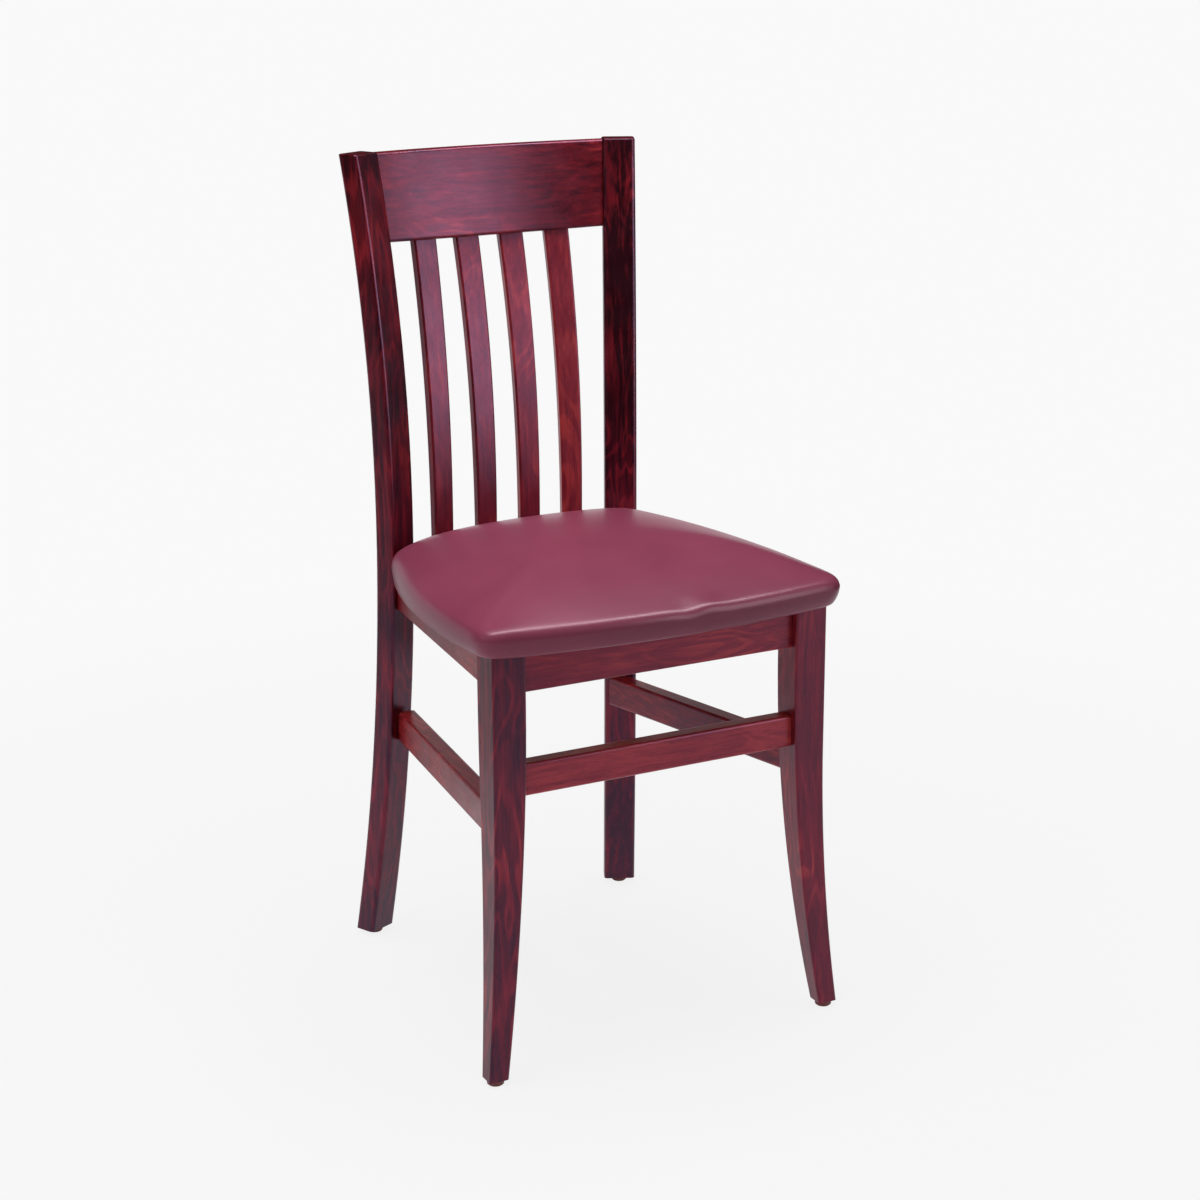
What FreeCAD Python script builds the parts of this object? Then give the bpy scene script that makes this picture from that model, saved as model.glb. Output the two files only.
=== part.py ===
import FreeCAD, Part
import math
import os

from FreeCAD import Vector

# Slat back side chair with a padded seat. Millimetres, +Z up, the front faces -Y.
# Left pieces lie at -X. Paired pieces are drawn on the left and mirrored to the right.
# Everything is drawn with Y = 0 at the centre line of the back posts at seat height, and moved
# at the end so that the origin is the middle of the chair's box, on the floor.

# Overall
overall_height = 864.0
part_clearance = 0.15

# Front legs
front_width = 368.6
leg_reach = 348.3
leg_width = 35.2
leg_depth = 36.8
foot_width = 21.0
foot_depth = 20.0
leg_splay_side = 15.4
leg_splay_front = 11.6
leg_splay_start = 290.0
leg_taper_start = 380.0
leg_edge_radius = 2.5

# Back posts
post_spacing = 269.2
post_width = 35.2
post_depth = 25.0
post_turn = 25.0
post_rake = 36.2
post_kick = 47.5
post_bend_height = 490.0
post_edge_radius = 4.0
post_top_radius = 1.5
post_stations = 4

# Seat frame
seat_frame_height = 436.5
seat_pitch = 2.8
rail_thickness = 20.0
rail_edge_radius = 2.0
front_rail_height = 41.5
front_rail_setback = 9.0
side_rail_height = 32.2
side_rail_inset = 2.0
rear_rail_height = 40.0
rear_rail_thickness = 18.0
rear_rail_offset = 6.5
rail_tenon_thickness = 8.0
rail_tenon_shoulder = 6.0
front_rail_tenon = 20.0
side_rail_tenon = 15.0
rear_rail_tenon = 16.0

# Stretchers
stretcher_thickness = 20.0
stretcher_height = 33.0
stretcher_edge_radius = 3.0
stretcher_tenon_thickness = 8.0
stretcher_tenon_shoulder = 6.0
stretcher_tenon = 14.0
front_stretcher_base = 289.0
front_stretcher_setback = 9.0
side_stretcher_base = 251.6

# Crest rail and slats
crest_height = 90.6
crest_drop = 0.6
crest_thickness = 18.0
crest_bow = 17.5
crest_recess = 4.2
crest_top_slope = 3.5
crest_bottom_slope = 10.0
crest_edge_radius = 3.5
slat_count = 4
slat_pitch = 51.4
slat_width_seat = 22.3
slat_width_crest = 27.2
slat_thickness = 11.0
slat_setback = 4.6
slat_edge_radius = 2.0
slat_tenon = 15.0
slat_tenon_shoulder = 2.5
slat_tenon_radius = 1.0
slat_stations = 3

# Dowels of the crest rail
dowel_diameter = 8.0
dowel_length = 30.0
dowel_spacing = 44.0

# Corner blocks and their screws
block_arm = 42.0
block_height = 27.0
block_gap = 1.0
screw_diameter = 4.0
screw_head_diameter = 8.0
screw_head_height = 2.6
screw_slot_width = 1.0
screw_slot_depth = 1.2
block_screw_grip = 10.0
block_screw_bite = 11.0
block_screw_place = 0.55
seat_screw_bite = 8.0

# Seat cushion
cushion_side_overhang = 18.7
cushion_post_overhang = 22.4
cushion_corner_radius = 24.0
cushion_overhang = 15.0
cushion_front_bulge = 20.0
cushion_side_bulge = 15.0
cushion_rear_gap = 2.0
cushion_edge_front = 15.0
cushion_edge_rear = 35.0
cushion_crown = 40.0
cushion_belly = 0.6
cushion_draw_in = 0.05
crown_steps = (0.97, 0.90, 0.78, 0.55, 0.20)
loft_degree = 3
cover_thickness = 1.2
cover_turn_in = 60.0
board_thickness = 12.0
board_gap = 1.0

# Staples of the cover
staple_width = 10.0
staple_leg = 8.0
staple_wire = 1.0
staple_inset = 8.0
staples_front = 5
staples_side = 4
staples_rear = 3

# Glides and their nails
glide_height = 6.0
glide_diameter = 17.0
glide_edge = 1.2
nail_diameter = 2.6
nail_length = 18.0
nail_head_diameter = 7.0
nail_head_height = 1.2
nail_head_lift = 2.6

# Places that follow from the driving sizes
leg_front = -leg_reach
leg_rear = leg_front + leg_depth
leg_outer = -front_width / 2
leg_inner = leg_outer + leg_width
pitch_slope = math.tan(math.radians(seat_pitch))
turn = math.radians(post_turn)
post_across = Vector(math.cos(turn), math.sin(turn), 0)
post_back = Vector(-math.sin(turn), math.cos(turn), 0)
post_centre = Vector(-post_spacing / 2, 0, 0)
post_rise = overall_height - post_bend_height
post_fall = post_bend_height - glide_height
crest_top = overall_height - crest_drop
crest_base = crest_top - crest_height
reach = 2 * max(overall_height, front_width, leg_reach)


def seat_plane(y):
    """Height of the top of the seat frame at a distance y."""
    return seat_frame_height - (y - leg_front) * pitch_slope


def mirrored(shape):
    """The same piece on the other side of the chair."""
    return shape.mirror(Vector(0, 0, 0), Vector(1, 0, 0))


def shared(first, second):
    """The solid that two solids have in common."""
    return first.common(second).Solids[0]


def trimmed(piece, neighbours):
    """What is left of a piece after its neighbours are cut away, without offcuts."""
    return max(piece.cut(neighbours).Solids, key=lambda solid: solid.Volume)


def plan_prism(corners, low, high):
    """Upright prism over a polygon of plan points."""
    points = [Vector(corner.x, corner.y, low) for corner in corners]
    face = Part.Face(Part.makePolygon(points + points[:1]))
    return face.extrude(Vector(0, 0, high - low))


def side_prism(corners):
    """Prism across the whole chair over a polygon of (y, z) corners."""
    points = [Vector(-reach, y, z) for y, z in corners]
    face = Part.Face(Part.makePolygon(points + points[:1]))
    return face.extrude(Vector(2 * reach, 0, 0))


def pitched_slab(top, height):
    """Layer that lies parallel to the seat frame, from top down, measured at the legs' front."""
    front = seat_plane(-reach) - seat_frame_height + top
    rear = seat_plane(reach) - seat_frame_height + top
    return side_prism([(-reach, front - height), (reach, rear - height), (reach, rear), (-reach, front)])


def bar_outline(start, end, thickness):
    """Plan corners of a straight bar between two points."""
    along = (end - start).normalize()
    across = Vector(-along.y, along.x, 0) * (thickness / 2)
    return [start + across, start - across, end - across, end + across]


def long_edges(shape, least):
    """Edges of a piece that are longer than a given length."""
    return [edge for edge in shape.Edges if edge.Length > least]


def pitched_bar(start, end, thickness, top, height):
    """Straight bar in plan that follows the pitch of the seat frame."""
    outline = bar_outline(start, end, thickness)
    return shared(plan_prism(outline, -reach, reach), pitched_slab(top, height))


def rounded_bar(start, end, thickness, top, height, radius):
    """Pitched bar with its four long edges rounded."""
    bar = pitched_bar(start, end, thickness, top, height)
    return bar.makeFillet(radius, long_edges(bar, 2 * max(thickness, height)))


def arc_radius(rise, shift):
    """Radius of an arc that leaves the upright and is off by shift after a height of rise."""
    return (rise ** 2 + shift ** 2) / (2 * abs(shift))


def arc_drift(rise, shift, height):
    """How far that arc is off the upright at a height along it."""
    radius = arc_radius(rise, shift)
    return math.copysign(radius - math.sqrt(radius ** 2 - height ** 2), shift)


def bent_edge(place, value, bend, end, shift):
    """Arc from the upright at height bend to height end, where it is off by shift."""
    rise = abs(end - bend)
    way = math.copysign(1.0, end - bend)
    steps = [rise * share for share in (0.0, 0.5, 1.0)]
    points = [place(value + arc_drift(rise, shift, step), bend + way * step) for step in steps]
    return Part.Arc(*points).toShape()


def cylinder(diameter, start, end):
    """Round bar between two points."""
    return Part.makeCylinder(diameter / 2, (end - start).Length, start, end - start)


def group(solids):
    """Several like pieces kept as one node of separate solids."""
    return Part.makeCompound(solids)


def closed_face(edges):
    """Flat face inside a closed chain of edges."""
    return Part.Face(Part.Wire(Part.__sortEdges__(edges)))


def leg_profile(place, outer, inner, splay, foot):
    """Face of a leg seen square on: the outer edge flares, the inner edge tapers to the foot."""
    away = math.copysign(1.0, outer - inner)
    top = seat_frame_height + leg_depth
    foot_outer = outer + away * splay
    foot_inner = foot_outer - away * foot
    return closed_face([
        Part.makeLine(place(inner, top), place(outer, top)),
        Part.makeLine(place(outer, top), place(outer, leg_splay_start)),
        bent_edge(place, outer, leg_splay_start, glide_height, away * splay),
        Part.makeLine(place(foot_outer, glide_height), place(foot_inner, glide_height)),
        bent_edge(place, inner, leg_taper_start, glide_height, foot_inner - inner),
        Part.makeLine(place(inner, leg_taper_start), place(inner, top)),
    ])


def front_leg():
    """Left front leg without its mortises."""
    def from_front(x, z):
        return Vector(x, -reach, z)

    def from_side(y, z):
        return Vector(-reach, y, z)

    front_view = leg_profile(from_front, leg_outer, leg_inner, leg_splay_side, foot_width)
    side_view = leg_profile(from_side, leg_front, leg_rear, leg_splay_front, foot_depth)
    across = side_view.extrude(Vector(2 * reach, 0, 0))
    blank = shared(front_view.extrude(Vector(0, 2 * reach, 0)), across)
    upright = [edge for edge in blank.Edges if edge.BoundBox.ZLength > leg_width / 2]
    rounded = blank.makeFillet(leg_edge_radius, upright)
    return shared(rounded, pitched_slab(seat_frame_height, overall_height))


def front_foot():
    """Middle of the left front foot, in plan."""
    x = leg_outer - leg_splay_side + foot_width / 2
    y = leg_front - leg_splay_front + foot_depth / 2
    return Vector(x, y, 0)


def post_drift(height):
    """How far the post's centre line lies behind its place at the bend, along the post's depth."""
    if height > post_bend_height:
        return arc_drift(post_rise, post_rake, height - post_bend_height)
    return arc_drift(post_fall, post_kick, post_bend_height - height)


def post_point(across, back, height):
    """Point of the left post, from its centre line at that height."""
    level = post_centre + Vector(0, 0, height)
    return level + post_across * across + post_back * (post_drift(height) + back)


def rounded_outline(place, half_width, half_depth, radius):
    """Outline of a rectangle with round corners, where place(across, back) gives each point."""
    flat = radius * (1.0 - math.sqrt(0.5))
    corners = []
    for across, back in ((1, -1), (1, 1), (-1, 1), (-1, -1)):
        on_width = place(across * (half_width - radius), back * half_depth)
        on_depth = place(across * half_width, back * (half_depth - radius))
        middle = place(across * (half_width - flat), back * (half_depth - flat))
        corners.append((on_depth, middle, on_width) if across == back else (on_width, middle, on_depth))
    lines = [Part.makeLine(corners[index - 1][2], corners[index][0]) for index in range(len(corners))]
    arcs = [Part.Arc(*corner).toShape() for corner in corners]
    return Part.Wire([edge for pair in zip(lines, arcs) for edge in pair])


def post_section(height):
    """Level outline of the left post at a height."""
    def place(across, back):
        return post_point(across, back, height)

    return rounded_outline(place, post_width / 2, post_depth / 2, post_edge_radius)


def post_blank():
    """Left back post with a square top: one level outline carried along the bend."""
    steps = [step / post_stations for step in range(post_stations)]
    heights = [glide_height + post_fall * step for step in steps]
    heights += [post_bend_height + post_rise * step for step in steps] + [overall_height]
    return Part.makeLoft([post_section(height) for height in heights], True, False, False, loft_degree)


def back_post(blank):
    """Left back post without its mortises, its top edges rounded."""
    rim = [edge for edge in blank.Edges if edge.BoundBox.ZMin > overall_height - post_top_radius]
    return blank.makeFillet(post_top_radius, rim).Solids[0]


def line_meeting(start, along, other, other_along):
    """Plan point where two lines cross."""
    cross = along.x * other_along.y - along.y * other_along.x
    gap = other - start
    return start + along * ((gap.x * other_along.y - gap.y * other_along.x) / cross)


# Side rails and side stretchers run from the leg's rear face to the middle of the post's front face
side_front = Vector(leg_outer + side_rail_inset + rail_thickness / 2, leg_rear, 0)
side_rear = post_centre - post_back * (post_depth / 2)
side_along = (side_rear - side_front).normalize()
side_inward = Vector(side_along.y, -side_along.x, 0)
side_inner_start = side_rear + side_inward * (rail_thickness / 2)
side_inner_corner = line_meeting(side_inner_start, side_along, side_rear, post_across)
post_corner = post_centre + post_across * (post_width / 2) - post_back * (post_depth / 2)


def side_inner_point(y):
    """Plan point of the left side rail's inner face at a distance y."""
    start = side_front + side_inward * (rail_thickness / 2)
    return start + side_along * ((y - start.y) / side_along.y)


def level_bar(half_length, y, thickness, top, height):
    """Ends and section of a bar that runs across the chair."""
    return Vector(-half_length, y, 0), Vector(half_length, y, 0), thickness, top, height


class Joinery:
    """A rail or stretcher: its rounded bar, its tenons, and the mortises that take them."""

    def __init__(self, start, end, thickness, top, height, radius, tenon_thickness, shoulder, lengths):
        along = (end - start).normalize()
        overlap = along * (leg_width / 4)
        self.bar = rounded_bar(start - overlap, end + overlap, thickness, top, height, radius)
        middle = (start + end) / 2
        tips = (start - along * lengths[0], end + along * lengths[1])
        loose = 2 * part_clearance
        tenon_top = top - shoulder
        tenon_height = height - 2 * shoulder
        self.tenons = []
        self.mortises = []
        for tip in tips:
            outward = (tip - middle).normalize() * part_clearance
            self.tenons.append(pitched_bar(middle, tip, tenon_thickness, tenon_top, tenon_height))
            self.mortises.append(pitched_bar(
                middle, tip + outward, tenon_thickness + loose,
                tenon_top + part_clearance, tenon_height + loose))

    def fitted(self, neighbours):
        """The bar with its ends shaped to its neighbours and its tenons added."""
        return trimmed(self.bar, neighbours).multiFuse(self.tenons).removeSplitter()


def front_rail_y(setback, thickness):
    """Centre line of a bar set back from the front of the legs."""
    return leg_front + setback + thickness / 2


def frame_joinery():
    """The rails and stretchers, before they are fitted to the legs and posts."""
    apron_y = front_rail_y(front_rail_setback, rail_thickness)
    front_bar_y = front_rail_y(front_stretcher_setback, stretcher_thickness)
    front_bar_top = front_stretcher_base + stretcher_height + (front_bar_y - leg_front) * pitch_slope
    side_top = side_stretcher_base + stretcher_height + leg_depth * pitch_slope
    rail = (rail_edge_radius, rail_tenon_thickness, rail_tenon_shoulder)
    stretcher = (stretcher_edge_radius, stretcher_tenon_thickness, stretcher_tenon_shoulder)
    stretcher_tenons = (stretcher_tenon, stretcher_tenon)
    return {
        "front_seat_rail": Joinery(
            *level_bar(-leg_inner, apron_y, rail_thickness, seat_frame_height, front_rail_height),
            *rail, (front_rail_tenon, front_rail_tenon)),
        "rear_seat_rail": Joinery(
            *level_bar(-post_corner.x, rear_rail_offset, rear_rail_thickness,
                       seat_frame_height, rear_rail_height),
            *rail, (rear_rail_tenon, rear_rail_tenon)),
        "left_seat_rail": Joinery(
            side_front, side_rear, rail_thickness, seat_frame_height, side_rail_height,
            *rail, (side_rail_tenon, side_rail_tenon)),
        "front_stretcher": Joinery(
            *level_bar(-leg_inner, front_bar_y, stretcher_thickness, front_bar_top, stretcher_height),
            *stretcher, stretcher_tenons),
        "left_stretcher": Joinery(
            side_front, side_rear, stretcher_thickness, side_top, stretcher_height,
            *stretcher, stretcher_tenons),
    }


# The crest rail bows back from the posts' inner faces and leans with them
crest_middle = crest_base + crest_height / 2
lean_step = 1.0
crest_lean = (post_drift(crest_middle + lean_step) - post_drift(crest_middle)) / lean_step * math.cos(turn)
crest_end = post_point(post_width / 2, crest_recess - post_depth / 2, crest_base)
crest_radius = arc_radius(-crest_end.x, crest_bow)
crest_axis_y = crest_end.y + crest_bow - crest_radius
crest_top_end = crest_end.y + crest_height * crest_lean
top_slope = math.tan(math.radians(crest_top_slope))
bottom_slope = math.tan(math.radians(crest_bottom_slope))


def crest_front(x):
    """Y of the crest rail's front face at the height of its lower ends."""
    return crest_axis_y + math.sqrt(crest_radius ** 2 - x ** 2)


def crest_underside(y):
    """Height of the crest rail's lower edge at a distance y."""
    return crest_base - (y - crest_end.y) * bottom_slope


def crest_upside(y):
    """Height of the crest rail's upper edge at a distance y."""
    return crest_top - (y - crest_top_end) * top_slope


def crest_rail():
    """Crest rail before it is cut to the posts: a bowed board between two sloping edges."""
    margin = crest_height / 2
    half = math.asin((-crest_end.x + post_width / 3) / crest_radius)
    low = Vector(0, crest_axis_y - margin * crest_lean, crest_base - margin)

    def arc(radius):
        angles = (-half, 0.0, half)
        points = [low + Vector(radius * math.sin(angle), radius * math.cos(angle), 0) for angle in angles]
        return Part.Arc(*points).toShape()

    front, rear = arc(crest_radius), arc(crest_radius + crest_thickness)
    ends = [Part.makeLine(front.Vertexes[i].Point, rear.Vertexes[i].Point) for i in (0, 1)]
    tall = crest_height + 2 * margin
    board = closed_face([front, rear] + ends).extrude(Vector(0, tall * crest_lean, tall))
    near, far = crest_end.y - crest_height, crest_end.y + crest_height
    layer = side_prism([
        (near, crest_underside(near)),
        (far, crest_underside(far)),
        (far, crest_upside(far)),
        (near, crest_upside(near)),
    ])
    blank = shared(board, layer)
    return blank.makeFillet(crest_edge_radius, long_edges(blank, crest_height * 1.5))


def slat_form(x, shoulder, radius, low, high):
    """Bent, tapered slat at x between two heights, inset by a shoulder, and square to the crest's bow."""
    turned = -x / crest_radius
    across = Vector(math.sqrt(1.0 - turned ** 2), turned, 0)
    back = Vector(-across.y, across.x, 0)
    lean = crest_front(x) + slat_setback + slat_thickness / 2 - rear_rail_offset
    head = crest_underside(rear_rail_offset + lean)
    seat = seat_plane(rear_rail_offset)
    gain = (slat_width_crest - slat_width_seat) / (head - seat)

    def section(height):
        above = max(0.0, height - post_bend_height)
        drift = arc_drift(head - post_bend_height, lean, above)
        middle = Vector(x, rear_rail_offset + drift, height)
        half_width = (slat_width_seat + gain * (height - seat)) / 2 - shoulder

        def place(run, depth):
            return middle + across * run + back * depth

        return rounded_outline(place, half_width, slat_thickness / 2 - shoulder, radius)

    steps = [step / slat_stations for step in range(slat_stations)]
    heights = [low + (post_bend_height - low) * step for step in steps]
    heights += [post_bend_height + (high - post_bend_height) * step for step in steps] + [high]
    return Part.makeLoft([section(height) for height in heights], True, False, False, loft_degree)


def slat_pieces(x):
    """Slat at x with its rounded edges, its tenons, and the mortises that take them."""
    foot = seat_plane(rear_rail_offset)
    head = crest_underside(crest_front(x) + slat_setback + slat_thickness / 2)
    overlap = slat_tenon / 3
    body = slat_form(x, 0, slat_edge_radius, foot - overlap, head + overlap)
    low, high = foot - slat_tenon, head + slat_tenon
    core = slat_form(x, slat_tenon_shoulder, slat_tenon_radius, low, high)
    loose = slat_tenon_shoulder - part_clearance
    mortise = slat_form(x, loose, slat_tenon_radius, low - part_clearance, high + part_clearance)
    return body, core, mortise


def crest_dowels():
    """Dowels of the left end of the crest rail, and the holes that take them."""
    back = crest_recess + crest_thickness / 2 - post_depth / 2
    half = post_across * (dowel_length / 2)
    hole_half = post_across * (dowel_length / 2 + part_clearance)
    hole_diameter = dowel_diameter + 2 * part_clearance
    dowels, holes = [], []
    for side in (-1, 1):
        middle = post_point(post_width / 2, back, crest_middle + side * dowel_spacing / 2)
        dowels.append(cylinder(dowel_diameter, middle - half, middle + half))
        holes.append(cylinder(hole_diameter, middle - hole_half, middle + hole_half))
    return dowels, holes


def screw(head_seat, direction, length):
    """Screw whose head bears at head_seat and whose shank runs along direction."""
    tip = head_seat + direction * length
    crown = head_seat - direction * screw_head_height
    body = cylinder(screw_diameter, head_seat, tip).fuse(cylinder(screw_head_diameter, crown, head_seat))
    across = direction.cross(Vector(0, 0, 1)) if abs(direction.z) < 0.5 else Vector(1, 0, 0)
    corner = crown - across * screw_head_diameter
    slot_side = direction.cross(across) * screw_slot_width
    slot = Part.Face(Part.makePolygon([
        corner - slot_side / 2,
        corner + slot_side / 2,
        corner + slot_side / 2 + across * (2 * screw_head_diameter),
        corner - slot_side / 2 + across * (2 * screw_head_diameter),
        corner - slot_side / 2,
    ])).extrude(direction * screw_slot_depth)
    return body.cut(slot)


def screw_hole(head_seat, direction, length):
    """Room for a screw and for a driver behind its head."""
    loose = 2 * part_clearance
    tip = head_seat + direction * (length + part_clearance)
    behind = head_seat - direction * (2 * block_arm)
    shank = cylinder(screw_diameter + loose, head_seat, tip)
    return shank.fuse(cylinder(screw_head_diameter + loose, behind, head_seat))


def corner_block(notch_x, notch_y, rail_y, side_y, arm):
    """Left corner block between the cross rail and the side rail, cut round the post or leg."""
    toward = math.copysign(1.0, side_y - rail_y)
    far_y = notch_y + toward * arm
    outline = [
        Vector(notch_x, rail_y, 0),
        Vector(notch_x + arm, rail_y, 0),
        side_inner_point(far_y),
        side_inner_point(notch_y),
        Vector(notch_x, notch_y, 0),
    ]
    return shared(plan_prism(outline, -reach, reach), pitched_slab(seat_frame_height, block_height))


def block_set(notch_x, notch_y, rail_y, middle_y):
    """A left corner block with the screws into its two rails and into the seat board."""
    block = corner_block(notch_x, notch_y, rail_y, middle_y, block_arm)
    toward = math.copysign(1.0, middle_y - rail_y)
    place = block_arm * block_screw_place
    cross_x = notch_x + place
    side_point = side_inner_point(notch_y + toward * place)
    cross_point = Vector(cross_x, rail_y, 0)
    level = Vector(0, 0, seat_plane(rail_y) - block_height / 2)
    starts = [
        (cross_point + Vector(0, toward * block_screw_grip, 0) + level, Vector(0, -toward, 0)),
        (side_point + side_inward * block_screw_grip + level, side_inward * -1),
    ]
    length = block_screw_grip + block_screw_bite
    screws = [screw(start, direction, length) for start, direction in starts]
    holes = [screw_hole(start, direction, length) for start, direction in starts]
    middle = block.CenterOfMass
    under = Vector(middle.x, middle.y, seat_plane(middle.y) - block_height)
    up = Vector(0, 0, 1)
    seat_length = block_height + cover_thickness + seat_screw_bite
    return {
        "block": block,
        "screws": screws,
        "holes": holes,
        "seat_screw": screw(under, up, seat_length),
        "seat_hole": screw_hole(under, up, seat_length),
    }


# Plan of the cushion: four bulged sides round a core, and round corners
core_front = front_width / 2 + cushion_side_overhang - cushion_corner_radius
core_rear = post_spacing / 2 + cushion_post_overhang - cushion_corner_radius
core_front_y = leg_front - cushion_overhang + cushion_corner_radius
core_rear_gap = cushion_corner_radius + cushion_rear_gap
core_rear_x = Vector(-core_rear, 0, 0)
core_rear_start = side_rear - post_back * core_rear_gap
core_rear_y = line_meeting(core_rear_x, Vector(0, 1, 0), core_rear_start, post_across).y
slat_front = rear_rail_offset - slat_thickness / 2
cushion_front_y = leg_front - cushion_overhang - cushion_front_bulge
cushion_rear_y = slat_front - cushion_rear_gap
cushion_rear_bulge = cushion_rear_y - core_rear_y - cushion_corner_radius
cushion_middle = Vector(0, (cushion_front_y + cushion_rear_y) / 2, 0)
cushion_depth = cushion_rear_y - cushion_front_y


def cushion_sides():
    """Core corner pairs of the four sides, each with its bulge, in order round the cushion."""
    front_left, front_right = Vector(-core_front, core_front_y, 0), Vector(core_front, core_front_y, 0)
    rear_right, rear_left = Vector(core_rear, core_rear_y, 0), Vector(-core_rear, core_rear_y, 0)
    return [
        (front_left, front_right, cushion_front_bulge),
        (front_right, rear_right, cushion_side_bulge),
        (rear_right, rear_left, cushion_rear_bulge),
        (rear_left, front_left, cushion_side_bulge),
    ]


def cushion_arcs():
    """Plan arcs of the cushion, each as its first, middle and last point."""
    arcs = []
    normals = []
    for start, end, bulge in cushion_sides():
        along = (end - start).normalize()
        outward = Vector(along.y, -along.x, 0)
        radius = arc_radius((end - start).Length / 2, bulge)
        centre = (start + end) / 2 + outward * (bulge - radius)
        first, last = (start - centre).normalize(), (end - centre).normalize()
        normals.append((first, last))
        grown = radius + cushion_corner_radius
        arcs.append((centre + first * grown, centre + outward * grown, centre + last * grown))
    corners = []
    for index, (start, end, bulge) in enumerate(cushion_sides()):
        first, last = normals[index][1], normals[(index + 1) % len(normals)][0]
        middle = (first + last).normalize()
        corners.append(tuple(end + way * cushion_corner_radius for way in (first, middle, last)))
    return [arc for pair in zip(arcs, corners) for arc in pair]


def cushion_section(scale, front_height, rear_height):
    """Outline of the cushion, shrunk about its middle, with its own height at front and rear."""
    def placed(point):
        flat = cushion_middle + (point - cushion_middle) * scale
        share = (flat.y - cushion_front_y) / cushion_depth
        return Vector(flat.x, flat.y, front_height + (rear_height - front_height) * share)

    return Part.Wire([Part.Arc(*[placed(point) for point in arc]).toShape() for arc in cushion_arcs()])


def cushion_form(shrink, base):
    """Padded form: drawn-in sides up to the belly, then a crown. Shrunk all round by a skin thickness."""
    inset = 2 * shrink / cushion_depth
    sections = [cushion_section(1.0 - cushion_draw_in - inset, base, base)]
    for share in (cushion_belly / 2, cushion_belly):
        drawn = cushion_draw_in * (1.0 - share / cushion_belly) ** 2
        front, rear = cushion_edge_front * share, cushion_edge_rear * share
        sections.append(cushion_section(1.0 - drawn - inset, front, rear))
    for step in crown_steps:
        crown = cushion_crown * math.sqrt(1.0 - step ** 2) - shrink
        front, rear = cushion_edge_front + crown, cushion_edge_rear + crown
        sections.append(cushion_section(step - inset, front, rear))
    return Part.makeLoft(sections, True, False, False, loft_degree)


def flat_outline(scale, low, high):
    """Flat slice with the cushion's outline, shrunk about its middle."""
    return Part.Face(cushion_section(scale, low, low)).extrude(Vector(0, 0, high - low))


def on_seat_frame(shape):
    """Lay a piece that was drawn flat at zero height on the pitched seat frame."""
    laid = shape.copy()
    laid.rotate(Vector(0, leg_front, 0), Vector(1, 0, 0), -seat_pitch)
    laid.translate(Vector(0, 0, seat_frame_height))
    return laid


def staple(middle, along):
    """Staple under the cushion, its crown along a direction and its legs up in the board."""
    half = staple_width / 2
    wire = staple_wire
    across = Vector(-along.y, along.x, 0) * wire
    up = Vector(0, 0, 1)
    corners = [
        (-half, -wire), (half, -wire), (half, staple_leg), (half - wire, staple_leg),
        (half - wire, 0), (wire - half, 0), (wire - half, staple_leg), (-half, staple_leg),
    ]
    points = [middle - across / 2 + along * run + up * rise for run, rise in corners]
    return Part.Face(Part.makePolygon(points + points[:1])).extrude(across)


def spread(low, high, count):
    """Evenly spaced places between two limits."""
    return [low + (high - low) * (index + 0.5) / count for index in range(count)]


def staples():
    """Staples just inside the seat rails, clear of the corner blocks."""
    front_y = front_rail_y(front_rail_setback, rail_thickness) + rail_thickness / 2
    rear_y = rear_rail_offset - rear_rail_thickness / 2
    front_limit = leg_inner + block_gap + block_arm
    rear_limit = post_corner.x + block_gap + block_arm
    side_low, side_high = leg_rear + block_gap + block_arm, post_corner.y - block_gap - block_arm
    lines = [Vector(x, front_y + staple_inset, 0) for x in spread(front_limit, -front_limit, staples_front)]
    rear_line = min(cushion_rear_y - cover_turn_in / 2, rear_y - staple_inset)
    lines += [Vector(x, rear_line, 0) for x in spread(rear_limit, -rear_limit, staples_rear)]
    made = [staple(point, Vector(1, 0, 0)) for point in lines]
    for y in spread(side_low, side_high, staples_side):
        left = staple(side_inner_point(y) + side_inward * staple_inset, side_along)
        made += [left, mirrored(left)]
    return made


def cushion_pieces():
    """Board, foam, cover and staples of the seat, drawn flat."""
    outer = cushion_form(0.0, 0.0)
    inner = cushion_form(cover_thickness, cover_thickness)
    opening = 1.0 - cushion_draw_in - 2 * cover_turn_in / cushion_depth
    cover = outer.cut(inner).cut(flat_outline(opening, -cover_thickness, 2 * cover_thickness))
    board_scale = 1.0 - cushion_draw_in - 2 * (cover_thickness + board_gap) / cushion_depth
    board_top = cover_thickness + board_thickness
    board = flat_outline(board_scale, cover_thickness, board_top)
    foam = inner.cut(flat_outline(1.0 + cushion_draw_in, -board_top, board_top))
    pins = staples()
    holes = [pin.makeOffsetShape(part_clearance, 1e-3) for pin in pins]
    return {"seat_board": board.cut(holes), "seat_cover": cover.cut(holes), "seat_foam": foam}, pins


def glide(foot):
    """Glide under a foot, moulded round its nail, with the nail and the nail's room."""
    base = Vector(foot.x, foot.y, 0)
    disc = Part.makeCylinder(glide_diameter / 2, glide_height, base)
    disc = disc.makeChamfer(glide_edge, [edge for edge in disc.Edges if edge.BoundBox.ZMax < glide_edge])

    def nail(grown):
        lift = Vector(0, 0, nail_head_lift - grown)
        head = Part.makeCylinder(nail_head_diameter / 2 + grown, nail_head_height + 2 * grown, base + lift)
        shank = Part.makeCylinder(nail_diameter / 2 + grown, nail_length + grown, base + lift)
        return head.fuse(shank)

    return disc.cut(nail(part_clearance)), nail(0.0), nail(part_clearance)


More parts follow.
